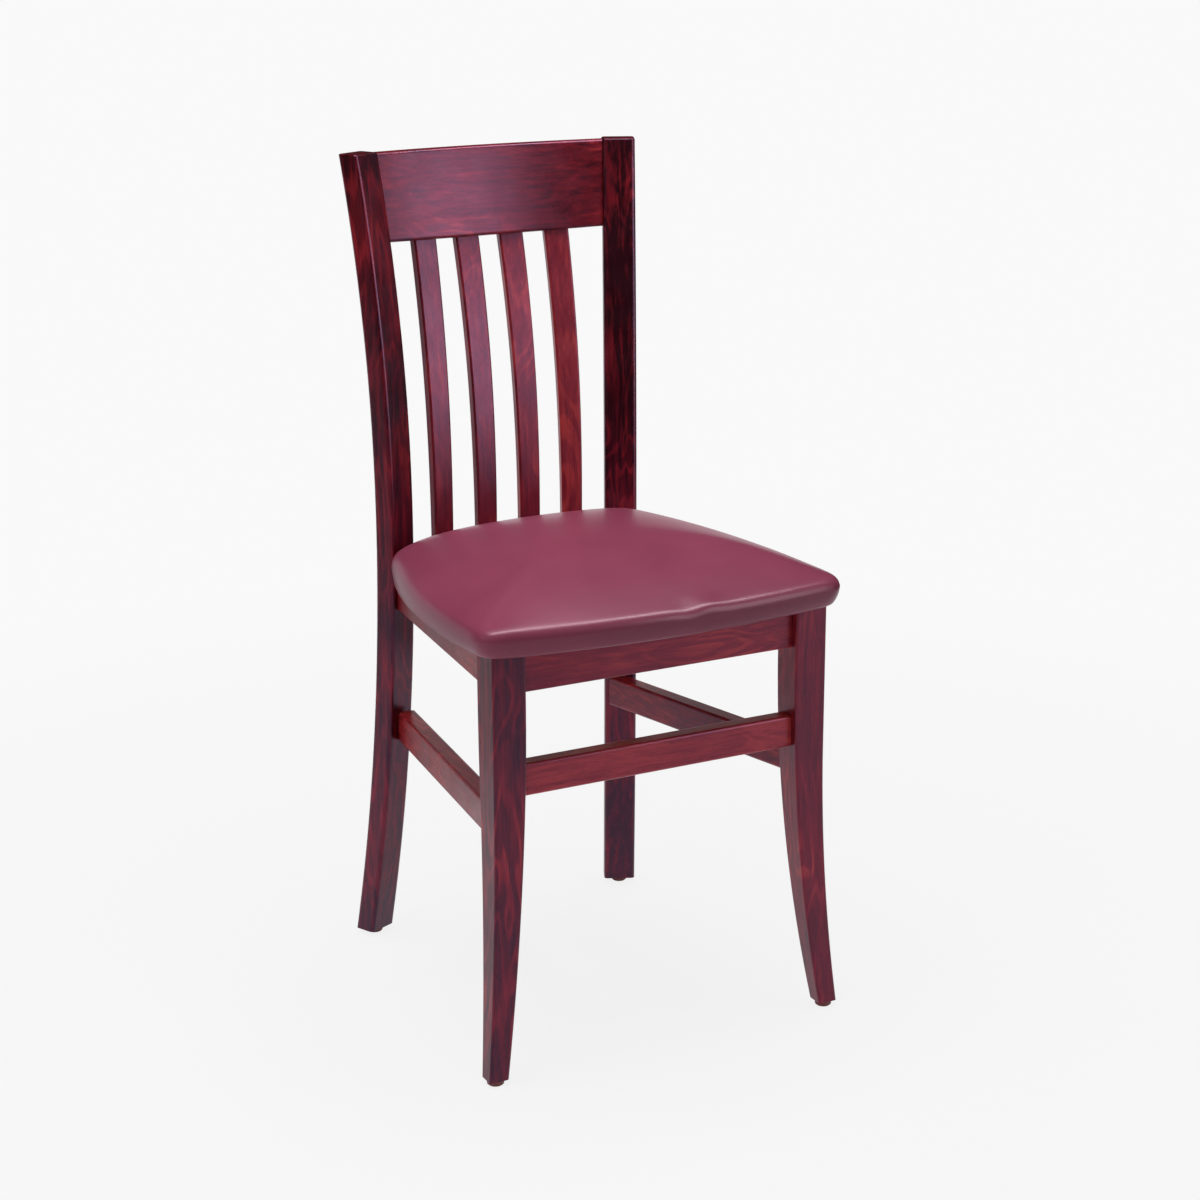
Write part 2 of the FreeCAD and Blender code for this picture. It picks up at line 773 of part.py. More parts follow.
def build():
    """Every node of the chair by name."""
    leg = front_leg()
    blank = post_blank()
    post = back_post(blank)
    joinery = frame_joinery()
    legs = [leg, mirrored(leg)]
    posts = [post, mirrored(post)]
    nodes = {}

    # Rails and stretchers, fitted between the legs and posts
    rear_rail = joinery["rear_seat_rail"].fitted(posts)
    front_rail = joinery["front_seat_rail"].fitted(legs)
    side_rail = joinery["left_seat_rail"].fitted([leg, post])
    nodes["front_stretcher"] = joinery["front_stretcher"].fitted(legs)
    side_stretcher = joinery["left_stretcher"].fitted([leg, post])
    nodes["left_stretcher"] = side_stretcher
    nodes["right_stretcher"] = mirrored(side_stretcher)

    # Back: crest rail on dowels, slats tenoned into the crest and the rear rail
    crest = trimmed(crest_rail(), [blank, mirrored(blank)])
    dowels, dowel_holes = crest_dowels()
    slat_names = ["slat_outer_left", "slat_inner_left", "slat_inner_right", "slat_outer_right"]
    plain_rear_rail, plain_crest = rear_rail, crest
    for index, name in enumerate(slat_names[:slat_count]):
        x = (index - (slat_count - 1) / 2) * slat_pitch
        body, core, mortise = slat_pieces(x)
        nodes[name] = trimmed(body, [plain_crest, plain_rear_rail]).fuse(core).removeSplitter()
        crest = crest.cut(mortise)
        rear_rail = rear_rail.cut(mortise)
    nodes["crest_rail"] = crest.cut(dowel_holes + [mirrored(hole) for hole in dowel_holes])
    nodes["crest_dowels"] = group(dowels + [mirrored(dowel) for dowel in dowels])

    # Corner blocks and screws
    apron_inside = front_rail_y(front_rail_setback, rail_thickness) + rail_thickness / 2
    rear_inside = rear_rail_offset - rear_rail_thickness / 2
    middle_y = (leg_rear + side_rear.y) / 2
    block_sets = {
        "front": block_set(leg_inner + block_gap, leg_rear + block_gap, apron_inside, middle_y),
        "rear": block_set(post_corner.x + block_gap, side_inner_corner.y - block_gap,
                          rear_inside, middle_y),
    }
    block_screws, seat_screws, seat_holes = [], [], []
    for place, parts in block_sets.items():
        block = parts["block"].cut(parts["holes"] + [parts["seat_hole"]])
        nodes["corner_block_%s_left" % place] = block
        nodes["corner_block_%s_right" % place] = mirrored(block)
        block_screws += parts["screws"] + [mirrored(part) for part in parts["screws"]]
        seat_screws += [parts["seat_screw"], mirrored(parts["seat_screw"])]
        seat_holes += [parts["seat_hole"], mirrored(parts["seat_hole"])]
        side_rail = side_rail.cut(parts["holes"])
    front_holes, rear_holes = block_sets["front"]["holes"], block_sets["rear"]["holes"]
    nodes["front_seat_rail"] = front_rail.cut(front_holes + [mirrored(hole) for hole in front_holes])
    nodes["rear_seat_rail"] = rear_rail.cut(rear_holes + [mirrored(hole) for hole in rear_holes])
    nodes["left_seat_rail"] = side_rail
    nodes["right_seat_rail"] = mirrored(side_rail)
    nodes["corner_block_screws"] = group(block_screws)
    nodes["seat_screws"] = group(seat_screws)

    # Seat cushion
    padding, pins = cushion_pieces()
    for name, shape in padding.items():
        nodes[name] = on_seat_frame(shape).cut(seat_holes)
    nodes["cover_staples"] = group([on_seat_frame(pin) for pin in pins])

    # Glides, and the mortises of legs and posts
    nails = []
    feet = {"front": (leg, front_foot()), "rear": (post, post_point(0, 0, glide_height))}
    wood = {}
    for place, (upright, foot) in feet.items():
        pad, nail, room = glide(foot)
        nodes["glide_%s_left" % place] = pad
        nodes["glide_%s_right" % place] = mirrored(pad)
        nails += [nail, mirrored(nail)]
        wood[place] = upright.cut(room)
    nodes["glide_nails"] = group(nails)
    leg_mortises = [joinery["front_seat_rail"].mortises[0], joinery["left_seat_rail"].mortises[0],
                    joinery["front_stretcher"].mortises[0], joinery["left_stretcher"].mortises[0]]
    post_mortises = [joinery["rear_seat_rail"].mortises[0], joinery["left_seat_rail"].mortises[1],
                     joinery["left_stretcher"].mortises[1]]
    nodes["front_leg_left"] = wood["front"].cut(leg_mortises)
    nodes["back_post_left"] = wood["rear"].cut(post_mortises + dowel_holes)
    nodes["front_leg_right"] = mirrored(nodes["front_leg_left"])
    nodes["back_post_right"] = mirrored(nodes["back_post_left"])
    return nodes


def write(nodes):
    """Centre the chair on its box and write one file per node."""
    box = Part.makeCompound(list(nodes.values())).optimalBoundingBox(False, False)
    shift = Vector(0, -(box.YMin + box.YMax) / 2, 0)
    os.makedirs("parts", exist_ok=True)
    for name, shape in sorted(nodes.items()):
        moved = shape.copy()
        moved.translate(shift)
        moved.exportStep("parts/%s.step" % name)
        print(name, len(moved.Solids), "solids", round(moved.Volume / 1000, 2), "cm3", moved.isValid())
    size = [round(length, 1) for length in (box.XLength, box.YLength, box.ZLength)]
    print("box", size, "shift", round(shift.y, 2))


write(build())
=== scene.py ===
import math

import bmesh
import bpy
from mathutils import Matrix, Vector


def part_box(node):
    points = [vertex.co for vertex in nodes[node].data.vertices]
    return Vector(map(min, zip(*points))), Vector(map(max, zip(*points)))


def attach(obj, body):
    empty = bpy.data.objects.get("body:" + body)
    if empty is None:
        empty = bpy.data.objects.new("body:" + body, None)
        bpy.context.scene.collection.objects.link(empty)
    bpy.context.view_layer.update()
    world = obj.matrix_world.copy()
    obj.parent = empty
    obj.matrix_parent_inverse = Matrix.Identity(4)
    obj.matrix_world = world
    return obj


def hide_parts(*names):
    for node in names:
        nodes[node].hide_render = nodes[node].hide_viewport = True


# Slat back side chair: stained and lacquered wood, burgundy vinyl seat.
# Metres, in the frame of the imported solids: +Z up, the front faces -Y.

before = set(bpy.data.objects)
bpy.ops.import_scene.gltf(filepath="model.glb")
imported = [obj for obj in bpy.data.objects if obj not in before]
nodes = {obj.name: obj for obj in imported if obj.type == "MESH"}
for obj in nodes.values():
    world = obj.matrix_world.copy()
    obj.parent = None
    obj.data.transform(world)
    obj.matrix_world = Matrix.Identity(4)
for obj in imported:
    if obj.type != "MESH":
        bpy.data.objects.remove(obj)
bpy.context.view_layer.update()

# Seat cushion, laid on the pitched seat frame. The rear rail and the front rail give its place.
seat_pitch = math.radians(2.8)
seat_frame_height = 0.4365
front_rail_setback = 0.009
rear_rail_thickness = 0.018
slat_thickness = 0.011
leg_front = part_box("front_seat_rail")[0].y - front_rail_setback
slat_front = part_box("rear_seat_rail")[0].y + rear_rail_thickness / 2 - slat_thickness / 2
cushion_rear_gap = 0.0025
cushion_lift = 0.0003
cushion_front_half = 0.2005
cushion_rear_half = 0.1550
cushion_corner_radius = 0.025
cushion_overhang = 0.0170
cushion_front_bulge = 0.0185
cushion_side_bulge = 0.0130
cushion_rear_y = slat_front - cushion_rear_gap
cushion_core_rear_y = -0.0435
cushion_edge_front = 0.0275
cushion_edge_rear = 0.0305
cushion_edge_radius = 0.0070
cushion_crown = 0.0455
crown_flatness = 2.7
crown_power_front = 1.30
crown_power_rear = 0.76
cushion_draw_in = 0.034
rear_draw_in_share = 0.3
cushion_cuts = 44
cushion_side_cuts = 4
rim_crowding = 1.6
turn_in_share = 0.66
top_panel_reach = 0.88
pucker_across = 0.020
pucker_inside = 0.004
pucker_size = (0.016, 0.014)
pucker_height = 0.0045
vinyl_thickness = 0.0011
pressure = 4.0
pressure_frames = 20
most_swell = 0.003

# Limits below which two levels, or two lengths along the rim, count as the same
same_level = 1e-6
same_length = 1e-9

# Camera, from the photograph
camera_place = (-1.1032, -2.1888, 1.1522)
camera_azimuth = 27.32
camera_elevation = 16.69
camera_roll = -0.24
camera_lens = 74.36
camera_sensor = 36.0

# Studio: what the eye sees as background, the floor, the even fill and the set of cards
background_white = (0.947, 0.947, 0.947, 1.0)
floor_half = 9.0
floor_paint = (0.80, 0.80, 0.80, 1.0)
floor_fade_start = 0.3
floor_fade_end = 1.6
floor_white_near = 0.90
floor_white_far = 1.0
fill_tone = (0.15, 0.15, 0.155, 1.0)
set_half = 1.6
front_card_end = 0.60
right_card_start = -0.75
card_foot = 0.01
card_top = 4.5
card_black = 0.012
card_roughness = 0.9
back_card_foot = 0.65
grey_card_y = 0.55
grey_card_end = -0.10
grey_card_top = 0.5
grey_card_tone = 0.95


class Finish:
    """A material being made: adds nodes to it and joins them."""

    def __init__(self, name):
        self.material = bpy.data.materials.new(name)
        self.material.use_nodes = True
        self.tree = self.material.node_tree
        self.shader = self.tree.nodes["Principled BSDF"]

    def node(self, kind, **settings):
        made = self.tree.nodes.new(kind)
        for key, value in settings.items():
            setattr(made, key, value)
        return made

    def feed(self, socket, source):
        """Join another node's output to a socket, or set a plain value on it."""
        if isinstance(source, bpy.types.NodeSocket):
            self.tree.links.new(source, socket)
        else:
            socket.default_value = source

    def place(self, scale=(1, 1, 1), offset=(0, 0, 0), turn=(0, 0, 0)):
        """Object coordinates, moved, turned and stretched."""
        coordinates = self.node("ShaderNodeTexCoord")
        mapping = self.node("ShaderNodeMapping")
        self.feed(mapping.inputs["Vector"], coordinates.outputs["Object"])
        self.feed(mapping.inputs["Location"], offset)
        self.feed(mapping.inputs["Rotation"], turn)
        self.feed(mapping.inputs["Scale"], scale)
        return mapping.outputs["Vector"]

    def noise(self, place, scale, detail=2.0, roughness=0.5, distortion=0.0):
        made = self.node("ShaderNodeTexNoise")
        self.feed(made.inputs["Vector"], place)
        self.feed(made.inputs["Scale"], scale)
        self.feed(made.inputs["Detail"], detail)
        self.feed(made.inputs["Roughness"], roughness)
        self.feed(made.inputs["Distortion"], distortion)
        return made.outputs[0]

    def cells(self, place, scale):
        """Soft round cells: the distance from the middle of each."""
        made = self.node("ShaderNodeTexVoronoi", feature="SMOOTH_F1")
        self.feed(made.inputs["Vector"], place)
        self.feed(made.inputs["Scale"], scale)
        return made.outputs["Distance"]

    def distance(self, centre, stretch):
        """How far a point is from a centre, with each axis stretched."""
        away = self.node("ShaderNodeVectorMath", operation="LENGTH")
        offset = [-part * factor for part, factor in zip(centre, stretch)]
        self.feed(away.inputs[0], self.place(stretch, offset))
        return away.outputs["Value"]

    def math(self, operation, first, second=0.0):
        made = self.node("ShaderNodeMath", operation=operation)
        self.feed(made.inputs[0], first)
        self.feed(made.inputs[1], second)
        return made.outputs[0]

    def spread(self, source, low, high, to_low=0.0, to_high=1.0):
        """Stretch one range of values onto another, held at its ends."""
        made = self.node("ShaderNodeMapRange", interpolation_type="SMOOTHSTEP")
        self.feed(made.inputs["Value"], source)
        self.feed(made.inputs["From Min"], low)
        self.feed(made.inputs["From Max"], high)
        self.feed(made.inputs["To Min"], to_low)
        self.feed(made.inputs["To Max"], to_high)
        return made.outputs["Result"]

    def ramp(self, source, stops):
        made = self.node("ShaderNodeValToRGB")
        band = made.color_ramp
        band.elements[0].position, band.elements[0].color = stops[0][0], (*stops[0][1], 1.0)
        band.elements[1].position, band.elements[1].color = stops[-1][0], (*stops[-1][1], 1.0)
        for position, colour in stops[1:-1]:
            band.elements.new(position).color = (*colour, 1.0)
        self.feed(made.inputs["Fac"], source)
        return made.outputs["Color"]

    def blend(self, factor, first, second):
        made = self.node("ShaderNodeMix", data_type="RGBA")
        self.feed(made.inputs["Factor"], factor)
        self.feed(made.inputs[6], first)
        self.feed(made.inputs[7], second)
        return made.outputs[2]

    def bump(self, height, strength, distance):
        made = self.node("ShaderNodeBump")
        self.feed(made.inputs["Height"], height)
        self.feed(made.inputs["Strength"], strength)
        self.feed(made.inputs["Distance"], distance)
        self.feed(self.shader.inputs["Normal"], made.outputs["Normal"])

    def set(self, **values):
        """Set or join sockets of the shader by name, with underscores for spaces."""
        for key, value in values.items():
            self.feed(self.shader.inputs[key.replace("_", " ")], value)


# Patterns are drawn out along the grain: the fibres much, the flame figure less
fibre_draw = 0.055
flame_draw = 0.20
grain_axes = {"X": (fibre_draw, 1, 1), "Y": (1, fibre_draw, 1), "Z": (1, 1, fibre_draw)}
flame_axes = {"X": (flame_draw, 1, 1), "Y": (1, flame_draw, 1), "Z": (1, 1, flame_draw)}
pore_colour = (0.012, 0.0008, 0.0010, 1.0)
lacquer_tint = (1.0, 0.58, 1.0, 1.0)


def stained_wood(name, grain, offset, tone_and_light_lift, figure, knot=None):
    """Mahogany stain under lacquer: flame figure, fibres and pores run along the grain axis."""
    finish = Finish(name)
    place = finish.place(grain_axes[grain], offset)
    plain_place = finish.place((1, 1, 1), offset)
    flame_place = finish.place(flame_axes[grain], offset)
    cloud = finish.noise(plain_place, scale=7.0, detail=2.0, roughness=0.55)
    drift = finish.noise(flame_place, scale=24.0, detail=2.0, roughness=0.5, distortion=0.5)
    rings = finish.math("SINE", finish.math("MULTIPLY", drift, 64.0))
    flame = finish.math("MULTIPLY", finish.spread(rings, -0.1, 1.0), finish.spread(cloud, 0.36, 0.64))
    streak = finish.noise(place, scale=190.0, detail=4.0, roughness=0.62)
    fibre = finish.noise(place, scale=900.0, detail=2.0, roughness=0.6)
    pores = finish.spread(finish.noise(place, scale=1500.0, detail=1.0, roughness=0.5), 0.60, 0.72)
    tone = finish.math("ADD", finish.math("MULTIPLY", streak, 0.60), finish.math("MULTIPLY", fibre, 0.20))
    tone = finish.math("ADD", tone, finish.math("MULTIPLY", flame, 0.22 * figure))
    # The lift moves each piece's tone: partly the stain's own tone, partly painted light and shade for
    # how brightly that piece is lit
    tone = finish.math("ADD", tone, finish.spread(cloud, 0.30, 0.70, tone_and_light_lift - 0.05, tone_and_light_lift + 0.05))
    if knot:
        from_knot = finish.distance(knot, (1, 0.4, 0.6))
        swirl = finish.math("SINE", finish.math("MULTIPLY", from_knot, 1100.0))
        swirl = finish.math("MULTIPLY", swirl, finish.spread(from_knot, 0.010, 0.030, 0.06, 0.0))
        heart = finish.spread(from_knot, 0.002, 0.012, -0.20, 0.0)
        tone = finish.math("ADD", finish.math("ADD", tone, swirl), heart)
    colour = finish.ramp(tone, [
        (0.24, (0.025, 0.0008, 0.0012)),
        (0.38, (0.130, 0.0046, 0.0078)),
        (0.54, (0.240, 0.0115, 0.0155)),
        (0.78, (0.480, 0.0420, 0.0360)),
    ])
    colour = finish.blend(finish.math("MULTIPLY", pores, 0.5), colour, pore_colour)
    rough = finish.spread(finish.noise(plain_place, scale=38.0, detail=3.0), 0.3, 0.7, 0.28, 0.335)
    finish.set(Base_Color=colour, Roughness=rough, IOR=1.5, Specular_IOR_Level=0.50,
               Specular_Tint=lacquer_tint)
    finish.bump(finish.math("SUBTRACT", fibre, pores), strength=0.08, distance=0.0004)
    return finish.material


def vinyl():
    """Burgundy seat vinyl with a fine pebble grain and a soft gloss."""
    finish = Finish("seat_vinyl")
    pit_colour = (0.150, 0.0220, 0.0420, 1.0)
    sheen_tint = (1.0, 0.86, 0.96, 1.0)
    place = finish.place()
    cloud = finish.noise(place, scale=11.0, detail=3.0, roughness=0.5)
    grain = finish.cells(place, scale=850.0)
    creases = finish.noise(place, scale=420.0, detail=3.0, roughness=0.6)
    colour = finish.ramp(cloud, [(0.30, (0.232, 0.0440, 0.0840)), (0.70, (0.270, 0.0520, 0.0970))])
    pits = finish.spread(grain, 0.25, 0.75, 0.0, 0.10)
    colour = finish.blend(pits, colour, pit_colour)
    rough = finish.spread(cloud, 0.3, 0.7, 0.285, 0.33)
    finish.set(Base_Color=colour, Roughness=rough, IOR=1.48, Specular_IOR_Level=0.28,
               Specular_Tint=sheen_tint)
    pebble = finish.math("ADD", grain, finish.math("MULTIPLY", creases, 0.5))
    finish.bump(pebble, strength=0.08, distance=0.0004)
    return finish.material


def raw_wood(name, grain, offset, layers):
    """Planed pale hardwood, or the layered edge of plywood."""
    finish = Finish(name)
    glue_line_colour = (0.20, 0.110, 0.052, 1.0)
    place = finish.place(grain_axes[grain], offset)
    streak = finish.noise(place, scale=140.0, detail=4.0, roughness=0.6)
    fibre = finish.noise(place, scale=800.0, detail=2.0, roughness=0.6)
    tone = finish.math("ADD", finish.math("MULTIPLY", streak, 0.7), finish.math("MULTIPLY", fibre, 0.3))
    colour = finish.ramp(tone, [
        (0.28, (0.28, 0.155, 0.075)),
        (0.50, (0.43, 0.275, 0.150)),
        (0.74, (0.55, 0.385, 0.235)),
    ])
    if layers:
        plies = finish.node("ShaderNodeTexWave", wave_type="BANDS", bands_direction="Z")
        finish.feed(plies.inputs["Vector"], finish.place((1, 1, 1), offset, (seat_pitch, 0, 0)))
        finish.feed(plies.inputs["Scale"], 80.0)
        finish.feed(plies.inputs["Distortion"], 0.4)
        glue_lines = finish.math("MULTIPLY", plies.outputs["Fac"], 0.35)
        colour = finish.blend(glue_lines, colour, glue_line_colour)
    finish.set(Base_Color=colour, Roughness=finish.spread(streak, 0.3, 0.7, 0.56, 0.72))
    finish.bump(fibre, strength=0.15, distance=0.0004)
    return finish.material


def zinc_steel():
    """Zinc plated steel of the screws, staples and nails."""
    finish = Finish("zinc_steel")
    patches = finish.noise(finish.place(), scale=320.0, detail=3.0, roughness=0.6)
    colour = finish.ramp(patches, [(0.3, (0.40, 0.39, 0.36)), (0.7, (0.58, 0.58, 0.57))])
    finish.set(Base_Color=colour, Metallic=1.0, Roughness=finish.spread(patches, 0.3, 0.7, 0.30, 0.46))
    finish.bump(patches, strength=0.08, distance=0.0002)
    return finish.material


def glide_plastic():
    """Red-brown moulded glide, mottled and lightly scuffed."""
    finish = Finish("glide_plastic")
    scuff_colour = (0.190, 0.090, 0.070, 1.0)
    place = finish.place()
    mottle = finish.noise(place, scale=260.0, detail=3.0, roughness=0.6)
    scuff = finish.spread(finish.noise(place, scale=900.0, detail=2.0, roughness=0.7), 0.52, 0.72)
    colour = finish.ramp(mottle, [(0.3, (0.150, 0.0300, 0.0270)), (0.7, (0.240, 0.0600, 0.0500))])
    colour = finish.blend(finish.math("MULTIPLY", scuff, 0.35), colour, scuff_colour)
    finish.set(Base_Color=colour, Roughness=finish.spread(mottle, 0.3, 0.7, 0.42, 0.60))
    finish.bump(mottle, strength=0.10, distance=0.0003)
    return finish.material


def dress(node, material):
    """Give a solid its finish."""
    slots = nodes[node].data.materials
    slots.clear()
    slots.append(material)


# Each stained piece: grain direction, how far its tone is lifted (its own stain tone plus painted light
# and shade for how brightly it is lit), and how strong its figure is
stained_pieces = {
    "back_post_left": ("Z", -0.09, 0.8),
    "back_post_right": ("Z", -0.13, 0.9),
    "front_leg_left": ("Z", -0.06, 1.5),
    "front_leg_right": ("Z", 0.05, 0.9),
    "crest_rail": ("X", 0.02, 0.9),
    "slat_outer_left": ("Z", 0.03, 0.6),
    "slat_inner_left": ("Z", 0.02, 0.6),
    "slat_inner_right": ("Z", 0.09, 0.8),
    "slat_outer_right": ("Z", 0.18, 0.9),
    "front_seat_rail": ("X", 0.17, 0.8),
    "rear_seat_rail": ("X", 0.00, 0.6),
    "left_seat_rail": ("Y", 0.12, 0.6),
    "right_seat_rail": ("Y", 0.02, 0.6),
    "front_stretcher": ("X", 0.28, 1.6),
    "left_stretcher": ("Y", 0.12, 0.7),
    "right_stretcher": ("Y", 0.04, 0.7),
}

# One knot near the top of the right post, measured in from the top corner of its box
knot_inset = Vector((0.020, 0.030, 0.070))
knots = {"back_post_right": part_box("back_post_right")[1] - knot_inset}

# Each piece is cut from another place in the pattern
stained_shift = (0.731, 1.319, 0.457)
for index, (node, (grain, tone_and_light_lift, figure)) in enumerate(stained_pieces.items()):
    shift = [part * index for part in stained_shift]
    dress(node, stained_wood("stained_" + node, grain, shift, tone_and_light_lift, figure, knots.get(node)))

corners = ("front_left", "front_right", "rear_left", "rear_right")
for index, corner in enumerate(corners):
    shift = (0.37 * index, 0.53, 0.11 * index)
    dress("corner_block_" + corner, raw_wood("raw_corner_block_" + corner, "X", shift, False))
dress("crest_dowels", raw_wood("raw_dowel", "X", (0.2, 0.4, 0.6), False))
dress("seat_board", raw_wood("seat_plywood", "X", (0.5, 0.1, 0.0), True))
steel = zinc_steel()
for node in ("corner_block_screws", "seat_screws", "cover_staples", "glide_nails"):
    dress(node, steel)
glide_finish = glide_plastic()
for corner in corners:
    dress("glide_" + corner, glide_finish)


# Cushion plan: four bulged sides and four round corners, counter-clockwise from the front side
def side_arc(start, end, bulge):
    """Centre, radius and end angles of a bulged side, grown by the corner radius."""
    half = (end - start).length / 2
    along = (end - start).normalized()
    outward = Vector((along.y, -along.x))
    radius = (half ** 2 + bulge ** 2) / (2 * bulge)
    centre = (start + end) / 2 + outward * (bulge - radius)
    facing = math.atan2(outward.y, outward.x)
    spread = math.asin(half / radius)
    return centre, radius + cushion_corner_radius, facing - spread, facing + spread


def cushion_outline():
    """For each side: the arcs from the middle of its first corner to the middle of its last."""
    front_x = cushion_front_half - cushion_corner_radius
    rear_x = cushion_rear_half - cushion_corner_radius
    front_y = leg_front - cushion_overhang + cushion_corner_radius
    rear_y = slat_front + cushion_core_rear_y
    rear_bulge = cushion_rear_y - rear_y - cushion_corner_radius
    plan = [(-front_x, front_y), (front_x, front_y), (rear_x, rear_y), (-rear_x, rear_y)]
    centres = [Vector(point) for point in plan]
    bulges = [cushion_front_bulge, cushion_side_bulge, rear_bulge, cushion_side_bulge]
    sides = [side_arc(centres[i], centres[(i + 1) % 4], bulges[i]) for i in range(4)]
    paths = []
    for i, side in enumerate(sides):
        before, after = sides[i - 1][3], sides[(i + 1) % 4][2]
        first_turn = (side[2] - before) % (2 * math.pi)
        last_turn = (after - side[3]) % (2 * math.pi)
        paths.append([
            (centres[i], cushion_corner_radius, side[2] - first_turn / 2, side[2]),
            side,
            (centres[(i + 1) % 4], cushion_corner_radius, side[3], side[3] + last_turn / 2),
        ])
    return paths


outline = cushion_outline()
cushion_front_y = leg_front - cushion_overhang - cushion_front_bulge
cushion_middle = Vector((0.0, (cushion_front_y + cushion_rear_y) / 2))
cushion_depth = cushion_rear_y - cushion_front_y


def outline_point(side, share):
    """Plan point at a share of the way along one side of the cushion."""
    arcs = outline[side]
    lengths = [radius * (last - first) for centre, radius, first, last in arcs]
    left = share * sum(lengths)
    for (centre, radius, first, last), length in zip(arcs, lengths):
        if left <= length + same_length:
            angle = first + left / radius
            return centre + Vector((math.cos(angle), math.sin(angle))) * radius
        left -= length
    return centre + Vector((math.cos(last), math.sin(last))) * radius


def square_to_plan(across, back):
    """Plan point of the cushion's rim for a point on the rim of a square from -1 to 1."""
    if abs(back) >= abs(across):
        return outline_point(0, (across + 1) / 2) if back < 0 else outline_point(2, (1 - across) / 2)
    return outline_point(1, (back + 1) / 2) if across > 0 else outline_point(3, (1 - back) / 2)


def cushion_place(across, back, level):
    """Where a point of the starting box goes: drawn-in side, round edge, then the crown."""
    reach = max(abs(across), abs(back))
    rim = square_to_plan(across / reach, back / reach) if reach > same_level else cushion_middle
    on_top = level > 1 - same_level
    underneath = level < same_level - 1
    behind = (rim.y - cushion_front_y) / cushion_depth
    draw_in = cushion_draw_in * (1.0 + (rear_draw_in_share - 1.0) * behind)
    if on_top:
        scale = 1.0 - (1.0 - reach) ** rim_crowding
    elif underneath:
        scale = (1.0 - draw_in) * reach
    else:
        scale = 1.0 - draw_in * ((1.0 - level) / 2) ** 2
    plan = cushion_middle + (rim - cushion_middle) * scale
    share = (plan.y - cushion_front_y) / cushion_depth
    edge = cushion_edge_front + (cushion_edge_rear - cushion_edge_front) * share
    shoulder = edge - cushion_edge_radius
    if not on_top:
        return Vector((plan.x, plan.y, shoulder * (level + 1) / 2))
    power = crown_power_front + (crown_power_rear - crown_power_front) * share
    crown = cushion_crown * max(0.0, 1.0 - scale ** crown_flatness) ** power
    inside = min(cushion_edge_radius, (1.0 - scale) * cushion_depth / 2)
    rounding = math.sqrt(cushion_edge_radius ** 2 - (cushion_edge_radius - inside) ** 2)
    return Vector((plan.x, plan.y, shoulder + rounding + crown))


def on_seat_frame(point):
    """From the cushion's own flat frame to the pitched seat frame."""
    from_leg_front = Vector((point.x, point.y - leg_front, point.z + cushion_lift))
    turned = Matrix.Rotation(-seat_pitch, 3, "X") @ from_leg_front
    return turned + Vector((0.0, leg_front, seat_frame_height))


def link(name, mesh_builder):
    """Turn a bmesh into an object of the scene."""
    mesh = bpy.data.meshes.new(name)
    mesh_builder.to_mesh(mesh)
    mesh_builder.free()
    made = bpy.data.objects.new(name, mesh)
    bpy.context.scene.collection.objects.link(made)
    return made


def rise(edge):
    """Difference in height between the ends of an edge."""
    return abs(edge.verts[0].co.z - edge.verts[1].co.z)


def cushion_start():
    """Closed starting form of the cushion, made from a subdivided box."""
    builder = bmesh.new()
    bmesh.ops.create_cube(builder, size=2.0)
    level_edges = [edge for edge in builder.edges if rise(edge) < same_level]
    bmesh.ops.subdivide_edges(builder, edges=level_edges, cuts=cushion_cuts, use_grid_fill=True)
    upright = [edge for edge in builder.edges if rise(edge) > same_level]
    bmesh.ops.subdivide_edges(builder, edges=upright, cuts=cushion_side_cuts)
    inside = builder.verts.layers.float.new("reach")
    top = builder.verts.layers.float.new("on_top")
    for vert in builder.verts:
        reach = max(abs(vert.co.x), abs(vert.co.y))
        vert[inside] = reach if vert.co.z < -1 + same_level else 2.0
        vert[top] = 1.0 if vert.co.z > 1 - same_level and reach < top_panel_reach else 0.0
        vert.co = on_seat_frame(cushion_place(*vert.co))
    bmesh.ops.recalc_face_normals(builder, faces=builder.faces[:])
    return link("seat_cushion", builder)


def swell(piece):
    """Inflate the top of the cover over its foam, with its sides held, and keep the result."""
    start = [vert.co.copy() for vert in piece.data.vertices]
    held = piece.vertex_groups.new(name="held")
    free = piece.data.attributes["on_top"].data
    held.add([index for index in range(len(start)) if free[index].value < 0.5], 1.0, "REPLACE")
    cloth = piece.modifiers.new("swell", "CLOTH")
    settings = cloth.settings
    settings.quality = 6
    settings.mass = 0.4
    settings.tension_stiffness = 18.0
    settings.compression_stiffness = 18.0
    settings.shear_stiffness = 8.0
    settings.bending_stiffness = 1.5
    settings.vertex_group_mass = "held"
    settings.use_pressure = True
    settings.uniform_pressure_force = pressure
    settings.effector_weights.gravity = 0.0
    cloth.collision_settings.use_collision = False
    scene = bpy.context.scene
    for step in range(1, pressure_frames + 1):
        scene.frame_set(step)
    evaluated = piece.evaluated_get(bpy.context.evaluated_depsgraph_get())
    ends = [vert.co.copy() for vert in evaluated.data.vertices]
    piece.modifiers.remove(cloth)
    scene.frame_set(1)
    for vert, before, after in zip(piece.data.vertices, start, ends):
        move = after - before
        if move.length > most_swell:
            move *= most_swell / move.length
        vert.co = before + move


def pucker(piece):
    """Gather the vinyl at the front edge: a short wave, up on the right and down on the left."""
    middle_y = cushion_front_y + pucker_inside
    for vert in piece.data.vertices:
        if vert.co.z < seat_frame_height + cushion_edge_front / 2:
            continue
        across = (vert.co.x - pucker_across) / pucker_size[0]
        back = (vert.co.y - middle_y) / pucker_size[1]
        vert.co.z += pucker_height * across * math.exp(-across ** 2 - back ** 2)


def open_underside(piece):
    """Cut away the underside inside the turned-in edge, so that the seat board shows from below."""
    builder = bmesh.new()
    builder.from_mesh(piece.data)
    reach = builder.verts.layers.float["reach"]
    hole = [face for face in builder.faces if all(vert[reach] < turn_in_share for vert in face.verts)]
    bmesh.ops.delete(builder, geom=hole, context="FACES")
    builder.to_mesh(piece.data)
    builder.free()


